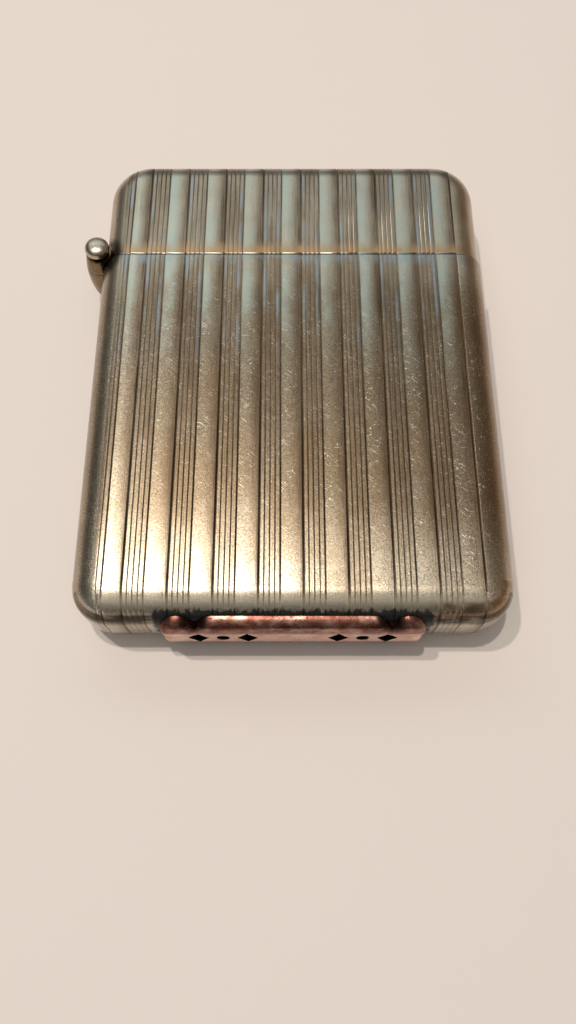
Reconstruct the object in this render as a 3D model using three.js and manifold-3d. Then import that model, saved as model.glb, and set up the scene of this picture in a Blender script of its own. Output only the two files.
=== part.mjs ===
// A slim petrol lighter in the shape of a match case, lying on its back with the lid shut.
// Millimetres. +X is to the right, +Y towards the lid, +Z out of the front face.
// The origin is the middle of the back face, on the surface that the lighter lies on.

import * as THREE from "three";
import { mergeVertices } from "three/addons/utils/BufferGeometryUtils.js";
import Module from "manifold-3d";

const wasm = await Module();
wasm.setup();

// Case and lid
const caseWidth = 45;
const caseHeight = 57.8; // foot to the top of the closed lid
const caseThickness = 9.6;
const wall = 0.5;
const edgeRadius = 3.3; // from the faces round to the sides
const footCorner = 4; // seen from the front
const lidCorner = 5;
const lidHeight = 14.7;
const lidSideStep = 0.3; // the lid is this much narrower than the case on each side
const lidFaceStep = 0.15;
const edgeSteps = 7; // facets round an edge
const cornerSteps = 6; // facets round a corner

// Clearances
const seatGap = 0.3; // round a soldered piece
const runGap = 0.3; // round a moving piece
const lidSlideGap = 0.2; // lid over collar
const barrelGap = 0.25; // hinge barrel in its notch
const knuckleGap = 0.1; // between one knuckle and the next
const solderGap = 0.1; // under the plaque

// Hinge
const hingeOut = 0.4; // axis outside the side of the case
const hingeRise = 1.2; // axis above the seam
const barrelRadius = 1.9; // at the middle of its length
const barrelEndRadius = 1.45;
const barrelInset = 1.4; // from each face of the case to the end of the barrel
const lidKnuckleLength = 1.7;
const pinRadius = 0.6;
const pinHeadRadius = 1.2;
const pinHeadDome = 0.7;
const frontHeadProud = 0.3; // above the front face
const backHeadInset = 0.2; // above the surface that the lighter lies on
const leafThickness = 0.4;
const caseLeafLength = 5.2;
const lidLeafLength = 5;
const lidLeafWidth = 0.9;
const lidOpening = 110; // degrees

// Snap spring and the cam it presses on
const camRadius = 2.9;
const camWidth = 0.7;
const camAngle = -28; // degrees from +X, at rest
const camReach = 1; // past the middle of the barrel
const springThickness = 0.3;
const springWidth = 2;
const springFoot = 18; // below the seam
const springFootLength = 7;
const springBend = 4.5;

// Collar that the lid closes over
const collarThickness = 0.4;
const collarDepth = 3; // below the seam
const collarRise = 1.5; // above the seam
const collarHingeCut = 5.5; // cut away this far in from the hinge side

// Plaque on the foot
const plaqueWidth = 26.8;
const plaqueHeight = 6.8;
const plaqueThickness = 0.8;
const plaqueEar = 1.75; // radius of the round ear at each corner
const plaqueEarPast = 50; // degrees that an ear's arc runs on into the notches beside it
const plaqueNotch = 1; // depth of the notch between an ear and the long edge
const plaqueShoulder = 1.3; // how far the long edge takes to come down to that notch
const plaqueCleft = 0.75; // depth of the notch in the middle of each end
const plaqueWrap = 3.4; // how far it reaches up from the foot

// Petrol tank that slides into the case
const tankWall = 0.4;
const tankPlate = 0.5;
const tankRound = 2.1;
const tankFootGap = 1.2; // room under the tank for the flint screw
const tankHingeSide = 3.1; // case side to tank, room for the snap spring
const tankGap = 0.25; // tank in its collar
const tankRise = 0.6; // top of the tank walls above the seam
const waddingDrop = 4; // top of the wadding below the seam

// Wick
const wickX = 1.5;
const wickRadius = 1.1;
const wickTubeWall = 0.25;
const wickTubeRise = 3;
const wickTubeDrop = 2;
const wickProud = 2.2;
const wickDepth = 12; // below the seam

// Snuffer cap inside the lid
const snufferWall = 0.4;
const snufferClearance = 0.5; // round the wick tube
const snufferHead = 1.2; // over the top of the wick
const snufferOverlap = 0.9; // over the wick tube
const snufferStem = 1.1;

// Spark wheel
const wheelX = 9;
const wheelRadius = 3.4;
const wheelWidth = 2.4;
const wheelTeeth = 28;
const wheelToothDepth = 0.35;
const rimRadius = 3.7;
const rimWidth = 0.5;
const rimFlutes = 20;
const rimFluteDepth = 0.25;
const cheekThickness = 0.6;
const cheekTop = 1.7; // radius of the ear round the axle
const cheekFoot = 6.4; // width of the ear on the tank
const axleRadius = 0.8;
const axleHeadRadius = 1.3;
const axleHeadHeight = 0.35;

// Flint and what pushes it
const flintRadius = 1.1;
const flintLength = 4;
const flintTubeWall = 0.5;
const flintGap = 0.25; // flint to wheel
const plungerHead = 2;
const plungerStem = 5.5;
const plungerStemRadius = 0.42;
const coilRadius = 0.9;
const coilWire = 0.2; // radius of the wire
const coilTurns = 18;
const screwHeadRadius = 2;
const screwHeadHeight = 0.9;
const screwShank = 5;
const slotWidth = 0.6;
const slotDepth = 0.4;

// Filler screw on the tank
const fillerX = -11;
const fillerHeadRadius = 2.3;
const fillerHeadHeight = 1;
const fillerShankRadius = 1.3;
const fillerShank = 3;
const washerRadius = 2.6;
const washerThickness = 0.5;

// Heights and places worked out from the sizes above
const footY = -caseHeight / 2;
const topY = caseHeight / 2;
const seamY = topY - lidHeight;
const midZ = caseThickness / 2;
const sideX = caseWidth / 2;
const hingeX = -sideX - hingeOut;
const hingeY = seamY + hingeRise;
const barrelHalf = midZ - barrelInset;
const caseKnuckleHalf = barrelHalf - lidKnuckleLength - knuckleGap;
const collarOut = sideX - lidSideStep - wall - lidSlideGap; // half width of the collar
const collarHalf = midZ - lidFaceStep - wall - lidSlideGap; // half thickness of the collar
const tankRight = collarOut - collarThickness - tankGap;
const tankLeft = -sideX + tankHingeSide;
const tankHalf = collarHalf - collarThickness - tankGap;
const tankBottomY = footY + wall + tankFootGap;
const tankTopY = seamY + tankRise;
const deckY = tankTopY + tankPlate; // top of the tank's top plate
const wheelY = deckY + rimRadius + runGap;
const flintTopY = wheelY - wheelRadius - flintGap;
const flintBottomY = flintTopY - flintLength;
const flintBore = flintRadius + runGap;
const flintTubeRadius = flintBore + flintTubeWall;
const wickBore = wickRadius + seatGap;
const wickTubeRadius = wickBore + wickTubeWall;
const wickTubeTopY = deckY + wickTubeRise;
const wickTopY = wickTubeTopY + wickProud;

// Finishes
function finish(color, roughness, metalness) {
  return new THREE.MeshStandardMaterial({ color, roughness, metalness });
}
const nickelSilver = finish(0xa8a294, 0.38, 1);
const copper = finish(0xb9705a, 0.35, 1);
const brass = finish(0xb08a4a, 0.4, 1);
const steel = finish(0x8b8b8a, 0.35, 1);
const springSteel = finish(0x777a80, 0.3, 1);
const cotton = finish(0xe6dfcf, 0.95, 0);
const flintMetal = finish(0x55504c, 0.7, 0.6);
const leather = finish(0x6b4a32, 0.8, 0);

const lighter = new THREE.Group();

// A closed three.js shape as a solid that can be joined and cut.
function solid(geometry) {
  const bare = new THREE.BufferGeometry();
  bare.setAttribute("position", geometry.getAttribute("position"));
  if (geometry.index) bare.setIndex(geometry.index);
  const merged = mergeVertices(bare, 1e-4);
  return new wasm.Manifold(
    new wasm.Mesh({
      numProp: 3,
      vertProperties: new Float32Array(merged.attributes.position.array),
      triVerts: new Uint32Array(merged.index.array),
    }),
  );
}

// A solid as a named mesh of the lighter.
function piece(name, body, material) {
  const mesh = body.getMesh();
  const geometry = new THREE.BufferGeometry();
  geometry.setAttribute("position", new THREE.BufferAttribute(mesh.vertProperties, 3));
  geometry.setIndex(new THREE.BufferAttribute(mesh.triVerts, 1));
  geometry.computeVertexNormals();
  const node = new THREE.Mesh(geometry, material);
  node.name = name;
  lighter.add(node);
  return node;
}

function block(x0, y0, z0, x1, y1, z1) {
  const box = new THREE.BoxGeometry(x1 - x0, y1 - y0, z1 - z0);
  box.translate((x0 + x1) / 2, (y0 + y1) / 2, (z0 + z1) / 2);
  return solid(box);
}

// An outline with its own corner radius at the bottom and at the top.
function outline(left, bottom, right, top, bottomRadius, topRadius) {
  const quarter = Math.PI / 2;
  const shape = new THREE.Shape();
  shape.absarc(right - bottomRadius, bottom + bottomRadius, bottomRadius, -quarter, 0);
  shape.absarc(right - topRadius, top - topRadius, topRadius, 0, quarter);
  shape.absarc(left + topRadius, top - topRadius, topRadius, quarter, 2 * quarter);
  shape.absarc(left + bottomRadius, bottom + bottomRadius, bottomRadius, 2 * quarter, 3 * quarter);
  shape.closePath();
  return shape;
}

// A flat case with rounded edges: the outline of the lighter, grown or shrunk by an offset.
function cushion(sideStep, faceStep, offset, bottomCorner, topCorner) {
  const radius = edgeRadius - faceStep + offset;
  const straight = caseThickness - 2 * edgeRadius;
  const half = sideX - sideStep + offset;
  const geometry = new THREE.ExtrudeGeometry(
    outline(-half, footY - offset, half, topY + offset, bottomCorner + offset, topCorner + offset),
    {
      depth: straight,
      bevelEnabled: true,
      bevelThickness: radius,
      bevelSize: radius,
      bevelOffset: -radius,
      bevelSegments: edgeSteps,
      curveSegments: cornerSteps,
    },
  );
  geometry.translate(0, 0, midZ - straight / 2);
  return solid(geometry);
}

// A shape drawn in X and Z, drawn out along Y.
function alongY(shape, y0, y1) {
  const geometry = new THREE.ExtrudeGeometry(shape, {
    depth: y1 - y0,
    bevelEnabled: false,
    curveSegments: cornerSteps,
  });
  geometry.rotateX(-Math.PI / 2);
  geometry.translate(0, y0, midZ);
  return solid(geometry);
}

// A shape drawn in X and Y, drawn out along Z.
function alongZ(shape, z0, z1, steps) {
  const geometry = new THREE.ExtrudeGeometry(shape, {
    depth: z1 - z0,
    bevelEnabled: false,
    curveSegments: steps,
  });
  geometry.translate(0, 0, z0);
  return solid(geometry);
}

// A profile of radius and height, turned round a line along Y.
function turned(profile, x, steps) {
  const points = profile.map(([r, y]) => new THREE.Vector2(r, y));
  const geometry = new THREE.LatheGeometry(points, steps);
  geometry.translate(x, 0, midZ);
  return solid(geometry);
}

// A profile of radius and Z, turned round a line along Z.
function turnedAcross(profile, x, y, steps) {
  const points = profile.map(([r, z]) => new THREE.Vector2(r, -z));
  const geometry = new THREE.LatheGeometry(points.reverse(), steps);
  geometry.rotateX(-Math.PI / 2);
  geometry.translate(x, y, 0);
  return solid(geometry);
}

function rod(x, radius, y0, y1, steps) {
  return turned([[0, y0], [radius, y0], [radius, y1], [0, y1]], x, steps);
}

function pipe(x, bore, radius, y0, y1, steps) {
  const profile = [[bore, y0], [radius, y0], [radius, y1], [bore, y1], [bore, y0]];
  return turned(profile, x, steps);
}

function crossRod(x, y, radius, z0, z1, steps) {
  return turnedAcross([[0, z0], [radius, z0], [radius, z1], [0, z1]], x, y, steps);
}

// Room for the hinge barrel, cut into the side of the case and of the lid
const barrelNotch = crossRod(
  hingeX,
  hingeY,
  barrelRadius + barrelGap,
  barrelInset - seatGap,
  caseThickness - barrelInset + seatGap,
  32,
);

// Case: a pressed sleeve, closed and rounded at the foot
function makeCase() {
  const aboveSeam = block(-caseWidth, seamY, -caseThickness, caseWidth, caseHeight, 2 * caseThickness);
  const outside = cushion(0, 0, 0, footCorner, lidCorner).subtract(aboveSeam);
  const inside = cushion(0, 0, -wall, footCorner, lidCorner);
  piece("case_shell", outside.subtract(inside).subtract(barrelNotch), nickelSilver);
}

// Lid: the same pressing, a little smaller
function makeLid() {
  const belowSeam = block(-caseWidth, -caseHeight, -caseThickness, caseWidth, seamY, 2 * caseThickness);
  const outside = cushion(lidSideStep, lidFaceStep, 0, footCorner, lidCorner).subtract(belowSeam);
  const inside = cushion(lidSideStep, lidFaceStep, -wall, footCorner, lidCorner);
  piece("lid_shell", outside.subtract(inside).subtract(barrelNotch), nickelSilver);
}

// Collar: a strip bent round inside the mouth of the case, open at the hinge
function makeCollar() {
  const round = edgeRadius - wall - lidSlideGap;
  const inner = collarThickness;
  const low = seamY - collarDepth;
  const high = seamY + collarRise;
  const ring = alongY(
    outline(-collarOut, -collarHalf, collarOut, collarHalf, round, round),
    low,
    high,
  );
  const bore = alongY(
    outline(
      -collarOut + inner,
      -collarHalf + inner,
      collarOut - inner,
      collarHalf - inner,
      round - inner,
      round - inner,
    ),
    low - 1,
    high + 1,
  );
  const hingeSide = block(-caseWidth, low - 1, 0, -sideX + collarHingeCut, high + 1, caseThickness);
  piece("case_collar", ring.subtract(bore).subtract(hingeSide), nickelSilver);
}

// Plaque: a plate with a round ear at each corner, bent round the foot and soldered on
function makePlaque() {
  const half = plaqueWidth / 2;
  const tall = plaqueHeight / 2;
  const earX = half - plaqueEar;
  const earZ = tall - plaqueEar;
  const neckX = half - 2 * plaqueEar;
  const past = THREE.MathUtils.degToRad(plaqueEarPast);
  const quarter = Math.PI / 2;
  const corners = [[1, 1], [-1, 1], [-1, -1], [1, -1]];
  const plan = new THREE.Shape();
  plan.moveTo(half - plaqueCleft, 0);
  corners.forEach(([sx, sz], i) => {
    const path = [
      () => plan.lineTo(sx * (half - plaqueCleft), 0),
      () => plan.absarc(sx * earX, sz * earZ, plaqueEar, i * quarter - past, (i + 1) * quarter + past),
      () => plan.lineTo(sx * neckX, sz * (tall - plaqueNotch)),
      () => plan.lineTo(sx * (neckX - plaqueShoulder / 3), sz * (tall - plaqueNotch / 3)),
      () => plan.lineTo(sx * (neckX - plaqueShoulder), sz * tall),
    ];
    if (sx * sz < 0) path.reverse().pop();
    path.forEach((step) => step());
  });
  const grown = solderGap + plaqueThickness;
  const plate = alongY(plan, footY - 2 * grown, footY + plaqueWrap);
  const outer = cushion(0, 0, grown, footCorner, lidCorner);
  const inner = cushion(0, 0, solderGap, footCorner, lidCorner);
  piece("foot_plaque", outer.intersect(plate).subtract(inner), copper);
}

// Hinge: three knuckles on one pin, swelling a little towards the middle
function barrelProfile(z0, z1) {
  const bore = pinRadius + runGap;
  const steps = 5;
  const outer = [];
  for (let i = 0; i <= steps; i++) {
    const z = z0 + ((z1 - z0) * i) / steps;
    const along = (z - midZ) / barrelHalf;
    outer.push([barrelRadius - (barrelRadius - barrelEndRadius) * along * along, z]);
  }
  return [[bore, z0], ...outer, [bore, z1], [bore, z0]];
}

function makeHinge() {
  const bore = crossRod(hingeX, hingeY, pinRadius + runGap, -1, caseThickness + 1, 20);

  // Case knuckle, with the leaf that is soldered inside the case
  const leafX = -sideX + wall + barrelGap;
  const caseLeaf = block(
    leafX,
    seamY - caseLeafLength,
    midZ - caseKnuckleHalf + knuckleGap,
    leafX + leafThickness,
    seamY + seatGap,
    midZ + caseKnuckleHalf - knuckleGap,
  );
  const middle = turnedAcross(
    barrelProfile(midZ - caseKnuckleHalf, midZ + caseKnuckleHalf),
    hingeX,
    hingeY,
    28,
  );
  piece("case_knuckle", middle.add(caseLeaf).subtract(bore), nickelSilver);

  // Lid knuckles, each with a leaf that reaches up inside the lid
  const lidLeafX = -sideX + lidSideStep + wall + 2 * seatGap;
  const lidLeafY = hingeY + barrelRadius / 6;
  const ends = [["lid_knuckle_front", 1], ["lid_knuckle_back", -1]];
  ends.forEach(([name, way]) => {
    const outer = midZ + way * barrelHalf;
    const inner = outer - way * lidKnuckleLength;
    const leafEnd = inner + way * lidLeafWidth;
    const z0 = Math.min(outer, inner);
    const z1 = Math.max(outer, inner);
    const leafZ0 = Math.min(inner, leafEnd);
    const leafZ1 = Math.max(inner, leafEnd);
    const neck = block(
      hingeX + pinRadius,
      lidLeafY,
      leafZ0,
      lidLeafX + leafThickness,
      lidLeafY + 2 * leafThickness,
      leafZ1,
    );
    const leaf = block(lidLeafX, lidLeafY, leafZ0, lidLeafX + leafThickness, lidLeafY + lidLeafLength, leafZ1);
    let knuckle = turnedAcross(barrelProfile(z0, z1), hingeX, hingeY, 28).add(neck).add(leaf);
    if (way < 0) knuckle = knuckle.add(makeCam(z0, z1));
    piece(name, knuckle.subtract(bore), nickelSilver);
  });

  // Pin, with a domed head at each end
  const headBase = barrelHalf + knuckleGap;
  const front = caseThickness + frontHeadProud;
  const dome = (top, way) => {
    const steps = 5;
    const rise = [];
    for (let i = 0; i <= steps; i++) {
      const turn = (i / steps) * (Math.PI / 2);
      rise.push([pinHeadRadius * Math.cos(turn), top - way * pinHeadDome * (1 - Math.sin(turn))]);
    }
    return rise;
  };
  const profile = [
    ...dome(backHeadInset, -1).reverse(),
    [pinHeadRadius, midZ - headBase],
    [pinRadius, midZ - headBase],
    [pinRadius, midZ + headBase],
    [pinHeadRadius, midZ + headBase],
    ...dome(front, 1),
  ];
  piece("hinge_pin", turnedAcross(profile, hingeX, hingeY, 24), nickelSilver);
}

// Cam: a bar on the back knuckle that reaches over the case knuckle to the snap spring
function makeCam(z0, z1) {
  const root = new THREE.BoxGeometry(camRadius - pinRadius - runGap, camWidth, z1 - z0);
  root.translate((camRadius + pinRadius + runGap) / 2, 0, (z0 + z1) / 2);
  const low = barrelRadius + barrelGap;
  const reach = midZ + camReach;
  const bar = new THREE.BoxGeometry(camRadius - low, camWidth, reach - z0);
  bar.translate((camRadius + low) / 2, 0, (z0 + reach) / 2);
  const place = (geometry) => {
    geometry.rotateZ(THREE.MathUtils.degToRad(camAngle));
    geometry.translate(hingeX, hingeY, 0);
    return solid(geometry);
  };
  return place(root).add(place(bar));
}

// Snap spring: a flat strip on the inside of the case, bent over to the cam
function makeLidSpring() {
  const wallX = -sideX + wall + seatGap;
  const freeX = hingeX + camRadius - springThickness / 2;
  const bottom = seamY - springFoot;
  const bendLow = bottom + springFootLength;
  const bendHigh = bendLow + springBend;
  const bendMid = (bendLow + bendHigh) / 2;
  const tip = seamY + seatGap;
  const t = springThickness;
  const strip = new THREE.Shape();
  strip.moveTo(wallX, bottom);
  strip.lineTo(wallX + t, bottom);
  strip.lineTo(wallX + t, bendLow);
  strip.bezierCurveTo(wallX + t, bendMid, freeX + t, bendMid, freeX + t, bendHigh);
  strip.lineTo(freeX + t, tip);
  strip.lineTo(freeX, tip);
  strip.lineTo(freeX, bendHigh);
  strip.bezierCurveTo(freeX, bendMid, wallX, bendMid, wallX, bendLow);
  strip.closePath();
  const half = springWidth / 2;
  piece("lid_spring", alongZ(strip, midZ - half, midZ + half, 10), springSteel);
}

// Snuffer: a small cap on a stem under the top of the lid
function makeSnuffer() {
  const inner = wickTubeRadius + snufferClearance;
  const outer = inner + snufferWall;
  const roof = wickTopY + snufferHead;
  const mouth = wickTubeTopY - snufferOverlap;
  const profile = [
    [0, roof],
    [inner, roof],
    [inner, mouth],
    [outer, mouth],
    [outer, roof + snufferWall],
    [snufferStem, roof + 2 * snufferWall],
    [snufferStem, topY - wall],
    [0, topY - wall],
  ];
  piece("snuffer_cap", turned(profile, wickX, 28), brass);
}

// Tank: a drawn tube with a floor and a top plate soldered on
function tankOutline(inset) {
  const round = tankRound - inset;
  return outline(tankLeft + inset, -tankHalf + inset, tankRight - inset, tankHalf - inset, round, round);
}

function makeTank() {
  const floorTop = tankBottomY + tankPlate;
  const tube = alongY(tankOutline(0), floorTop, tankTopY);
  const bore = alongY(tankOutline(tankWall), floorTop - 1, tankTopY + 1);
  piece("tank_shell", tube.subtract(bore), brass);

  const flintHole = (y0, y1) => rod(wheelX, flintTubeRadius + seatGap, y0 - 1, y1 + 1, 24);
  const floor = alongY(tankOutline(0), tankBottomY, floorTop);
  piece("tank_floor", floor.subtract(flintHole(tankBottomY, floorTop)), brass);

  const deck = alongY(tankOutline(0), tankTopY, deckY)
    .subtract(flintHole(tankTopY, deckY))
    .subtract(rod(wickX, wickTubeRadius + seatGap, tankTopY - 1, deckY + 1, 24))
    .subtract(rod(fillerX, fillerShankRadius + seatGap, tankTopY - 1, deckY + 1, 20));
  piece("tank_top", deck, brass);
}

// Wadding that fills the tank beside the flint tube, with the wick let into it
function makeWadding() {
  const inset = tankWall + seatGap;
  const right = wheelX - flintTubeRadius - seatGap;
  const round = tankRound - inset;
  const low = tankBottomY + tankPlate + seatGap;
  const high = seamY - waddingDrop;
  const pad = alongY(
    outline(tankLeft + inset, -tankHalf + inset, right, tankHalf - inset, round, round),
    low,
    high,
  );
  const wickHole = rod(wickX, wickRadius + seatGap, seamY - wickDepth - seatGap, high + 1, 20);
  piece("tank_wadding", pad.subtract(wickHole), cotton);
}

function makeWick() {
  const tubeBottom = seamY - wickTubeDrop;
  piece("wick_tube", pipe(wickX, wickBore, wickTubeRadius, tubeBottom, wickTubeTopY, 24), brass);
  piece("wick", rod(wickX, wickRadius, seamY - wickDepth, wickTopY, 18), cotton);
}

// Flint in its tube, with the follower and the coil spring under it
class Coil extends THREE.Curve {
  constructor(bottom, top) {
    super();
    this.bottom = bottom;
    this.top = top;
  }

  getPoint(t, target = new THREE.Vector3()) {
    const turn = t * coilTurns * 2 * Math.PI;
    const y = this.bottom + (this.top - this.bottom) * t;
    return target.set(coilRadius * Math.cos(turn), y, coilRadius * Math.sin(turn));
  }
}

function makeFlint() {
  const tube = pipe(wheelX, flintBore, flintTubeRadius, tankBottomY, deckY, 24);
  piece("flint_tube", tube, brass);
  piece("flint", rod(wheelX, flintRadius, flintBottomY, flintTopY, 18), flintMetal);

  const shoulder = flintBottomY - plungerHead;
  const tail = shoulder - plungerStem;
  const plunger = [
    [0, tail],
    [plungerStemRadius, tail],
    [plungerStemRadius, shoulder],
    [flintRadius, shoulder],
    [flintRadius, flintBottomY],
    [0, flintBottomY],
  ];
  piece("flint_plunger", turned(plunger, wheelX, 18), brass);

  const shankTop = tankBottomY + screwShank;
  const coil = new Coil(shankTop + seatGap + coilWire, shoulder - seatGap - coilWire);
  const wire = new THREE.Shape();
  wire.absarc(0, 0, coilWire, 0, 2 * Math.PI);
  const geometry = new THREE.ExtrudeGeometry(wire, {
    steps: coilTurns * 8,
    curveSegments: 5,
    extrudePath: coil,
  });
  geometry.translate(wheelX, 0, midZ);
  piece("flint_spring", solid(geometry), springSteel);
  const pitch = (coil.top - coil.bottom) / coilTurns;
  console.log("flint_spring: least gap between turns", (pitch - 2 * coilWire).toFixed(2), "mm");

  const headLow = tankBottomY - screwHeadHeight;
  const screw = [
    [0, headLow],
    [screwHeadRadius, headLow],
    [screwHeadRadius, tankBottomY],
    [flintRadius, tankBottomY],
    [flintRadius, shankTop],
    [0, shankTop],
  ];
  const slot = block(
    wheelX - 2 * screwHeadRadius,
    headLow - 1,
    midZ - slotWidth / 2,
    wheelX + 2 * screwHeadRadius,
    headLow + slotDepth,
    midZ + slotWidth / 2,
  );
  piece("flint_screw", turned(screw, wheelX, 24).subtract(slot), brass);
}

// A ring of equal teeth or flutes, as an outline with a hole for the axle
function toothed(radius, depth, count, lean) {
  const shape = new THREE.Shape();
  for (let i = 0; i < count; i++) {
    const root = (i / count) * 2 * Math.PI;
    const tip = ((i + lean) / count) * 2 * Math.PI;
    const low = radius - depth;
    if (i === 0) shape.moveTo(wheelX + low * Math.cos(root), wheelY + low * Math.sin(root));
    else shape.lineTo(wheelX + low * Math.cos(root), wheelY + low * Math.sin(root));
    shape.lineTo(wheelX + radius * Math.cos(tip), wheelY + radius * Math.sin(tip));
  }
  shape.closePath();
  const hole = new THREE.Path();
  hole.absarc(wheelX, wheelY, axleRadius + runGap, 0, 2 * Math.PI);
  shape.holes.push(hole);
  return shape;
}

// Spark wheel between two fluted rims, turning on a rivet in two ears
function makeWheel() {
  const half = wheelWidth / 2;
  const wheel = alongZ(
    toothed(wheelRadius, wheelToothDepth, wheelTeeth, 0.15),
    midZ - half,
    midZ + half,
    10,
  );
  piece("spark_wheel", wheel, steel);

  const rim = toothed(rimRadius, rimFluteDepth, rimFlutes, 0.5);
  piece("wheel_rim_front", alongZ(rim, midZ + half, midZ + half + rimWidth, 10), brass);
  piece("wheel_rim_back", alongZ(rim, midZ - half - rimWidth, midZ - half, 10), brass);

  const ear = new THREE.Shape();
  ear.moveTo(wheelX - cheekFoot / 2, deckY);
  ear.lineTo(wheelX + cheekFoot / 2, deckY);
  ear.absarc(wheelX, wheelY, cheekTop, 0, Math.PI);
  ear.closePath();
  const hole = new THREE.Path();
  hole.absarc(wheelX, wheelY, axleRadius + seatGap, 0, 2 * Math.PI);
  ear.holes.push(hole);
  const near = half + rimWidth + runGap;
  const far = near + cheekThickness;
  piece("wheel_cheek_front", alongZ(ear, midZ + near, midZ + far, 10), brass);
  piece("wheel_cheek_back", alongZ(ear, midZ - far, midZ - near, 10), brass);

  const end = far + axleHeadHeight;
  const axle = [
    [0, midZ - end],
    [axleHeadRadius, midZ - end],
    [axleHeadRadius, midZ - far],
    [axleRadius, midZ - far],
    [axleRadius, midZ + far],
    [axleHeadRadius, midZ + far],
    [axleHeadRadius, midZ + end],
    [0, midZ + end],
  ];
  piece("wheel_axle", turnedAcross(axle, wheelX, wheelY, 20), steel);
}

// Filler screw and the leather washer that it presses on the tank
function makeFiller() {
  const seat = deckY + washerThickness;
  const top = seat + fillerHeadHeight;
  const bottom = tankTopY - fillerShank;
  const washer = pipe(fillerX, fillerShankRadius + seatGap, washerRadius, deckY, seat, 24);
  piece("filler_washer", washer, leather);

  const screw = [
    [0, bottom],
    [fillerShankRadius, bottom],
    [fillerShankRadius, seat],
    [fillerHeadRadius, seat],
    [fillerHeadRadius, top],
    [0, top],
  ];
  const slot = block(
    fillerX - 2 * fillerHeadRadius,
    top - slotDepth,
    midZ - slotWidth / 2,
    fillerX + 2 * fillerHeadRadius,
    top + 1,
    midZ + slotWidth / 2,
  );
  piece("filler_screw", turned(screw, fillerX, 28).subtract(slot), brass);
}

makeCase();
makeCollar();
makePlaque();
makeLid();
makeHinge();
makeLidSpring();
makeSnuffer();
makeTank();
makeWadding();
makeWick();
makeFlint();
makeWheel();
makeFiller();

export default lighter;
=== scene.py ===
# %% [markdown]
# # A slim petrol lighter, dressed
# The lighter lies on its back on a pale table. Its case is pressed from thin nickel silver,
# ruled with groups of five fine lines, and worn by a pocket. A copper plaque is soldered
# round the foot. This lesson makes the camera and the light first, then the finishes, and
# then each piece that shows, one by one, on the frame that the imported model gives.

# %% Load the frame and keep its meshes
import math

import bmesh
import bpy
from mathutils import Matrix, Vector


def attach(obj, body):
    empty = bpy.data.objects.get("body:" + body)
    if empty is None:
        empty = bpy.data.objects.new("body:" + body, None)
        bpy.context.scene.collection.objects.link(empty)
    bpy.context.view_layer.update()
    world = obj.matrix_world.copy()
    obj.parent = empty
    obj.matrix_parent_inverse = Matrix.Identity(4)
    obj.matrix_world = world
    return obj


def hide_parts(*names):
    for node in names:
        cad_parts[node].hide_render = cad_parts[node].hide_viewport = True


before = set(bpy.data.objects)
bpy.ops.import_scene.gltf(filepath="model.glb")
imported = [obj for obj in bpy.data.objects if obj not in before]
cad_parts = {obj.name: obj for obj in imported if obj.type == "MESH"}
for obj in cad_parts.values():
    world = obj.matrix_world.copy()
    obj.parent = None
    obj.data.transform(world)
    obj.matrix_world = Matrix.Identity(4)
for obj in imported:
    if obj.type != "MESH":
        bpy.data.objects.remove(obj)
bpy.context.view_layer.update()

# %% [markdown]
# ## Sizes
# Everything is written in millimetres, as on a drawing, and turned to metres when a piece
# is finished. The sizes repeat those of the solids, so that a piece lies where its solid is.

# %% Sizes in millimetres
MM = 0.001
CASE_WIDTH = 45
CASE_HEIGHT = 57.8
CASE_THICKNESS = 9.6
WALL = 0.5
EDGE_RADIUS = 3.3
FOOT_CORNER = 4
LID_CORNER = 5
LID_HEIGHT = 14.7
LID_SIDE_STEP = 0.3
LID_FACE_STEP = 0.15
PLAQUE_WIDTH = 26.8
PLAQUE_HEIGHT = 6.8
NOTCH_X = PLAQUE_WIDTH / 2 - 3.55
PLAQUE_PROUD = 0.88

FOOT_Y = -CASE_HEIGHT / 2
TOP_Y = CASE_HEIGHT / 2
SEAM_Y = TOP_Y - LID_HEIGHT
MID_Z = CASE_THICKNESS / 2
HINGE = (-CASE_WIDTH / 2 - 0.4, SEAM_Y + 1.2)
print("seam at", round(SEAM_Y, 2), "mm, hinge at", HINGE)

# %% [markdown]
# ## Camera
# The photograph was taken from close by with a phone, from beyond the foot and looking
# down steeply. The lines of the case run together towards the lid, and how fast they do
# gives the distance: the lens stands about 85 mm above the table. A lens of 28 mm on a
# 36 mm sensor has the same angle of view along the long side of the picture.

# %% The camera
SENSOR_MM = 36
FOCAL_PIXELS, PICTURE_PIXELS = 796.43, 1024  # along the picture's long side
eye = bpy.data.cameras.new("eye")
eye.sensor_width = SENSOR_MM
eye.lens = SENSOR_MM * FOCAL_PIXELS / PICTURE_PIXELS
eye.clip_start = 0.001
eye.clip_end = 20
camera = bpy.data.objects.new("camera", eye)
camera.location = (-0.000503, -0.046896, 0.085214)
camera.rotation_euler = (math.radians(21), 0, 0)
bpy.context.scene.collection.objects.link(camera)
bpy.context.scene.camera = camera
print("lens", round(eye.lens, 2), "mm")

# %% [markdown]
# ## Materials: three small tools
# Colours are written as the hex values that a colour picker shows. The renderer works in
# linear light, so one function turns them. Another adds a node with its settings and links.
# A third makes a material from its recipe, a function that gives the surface's inputs.

# %% Colour and node helpers
def linear(hex_colour):
    """An sRGB hex colour as linear red, green, blue and alpha."""
    parts = [int(hex_colour[i : i + 2], 16) / 255 for i in (1, 3, 5)]
    bright = [((part + 0.055) / 1.055) ** 2.4 for part in parts]
    return tuple(p / 12.92 if p <= 0.04045 else b for p, b in zip(parts, bright)) + (1,)


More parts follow.
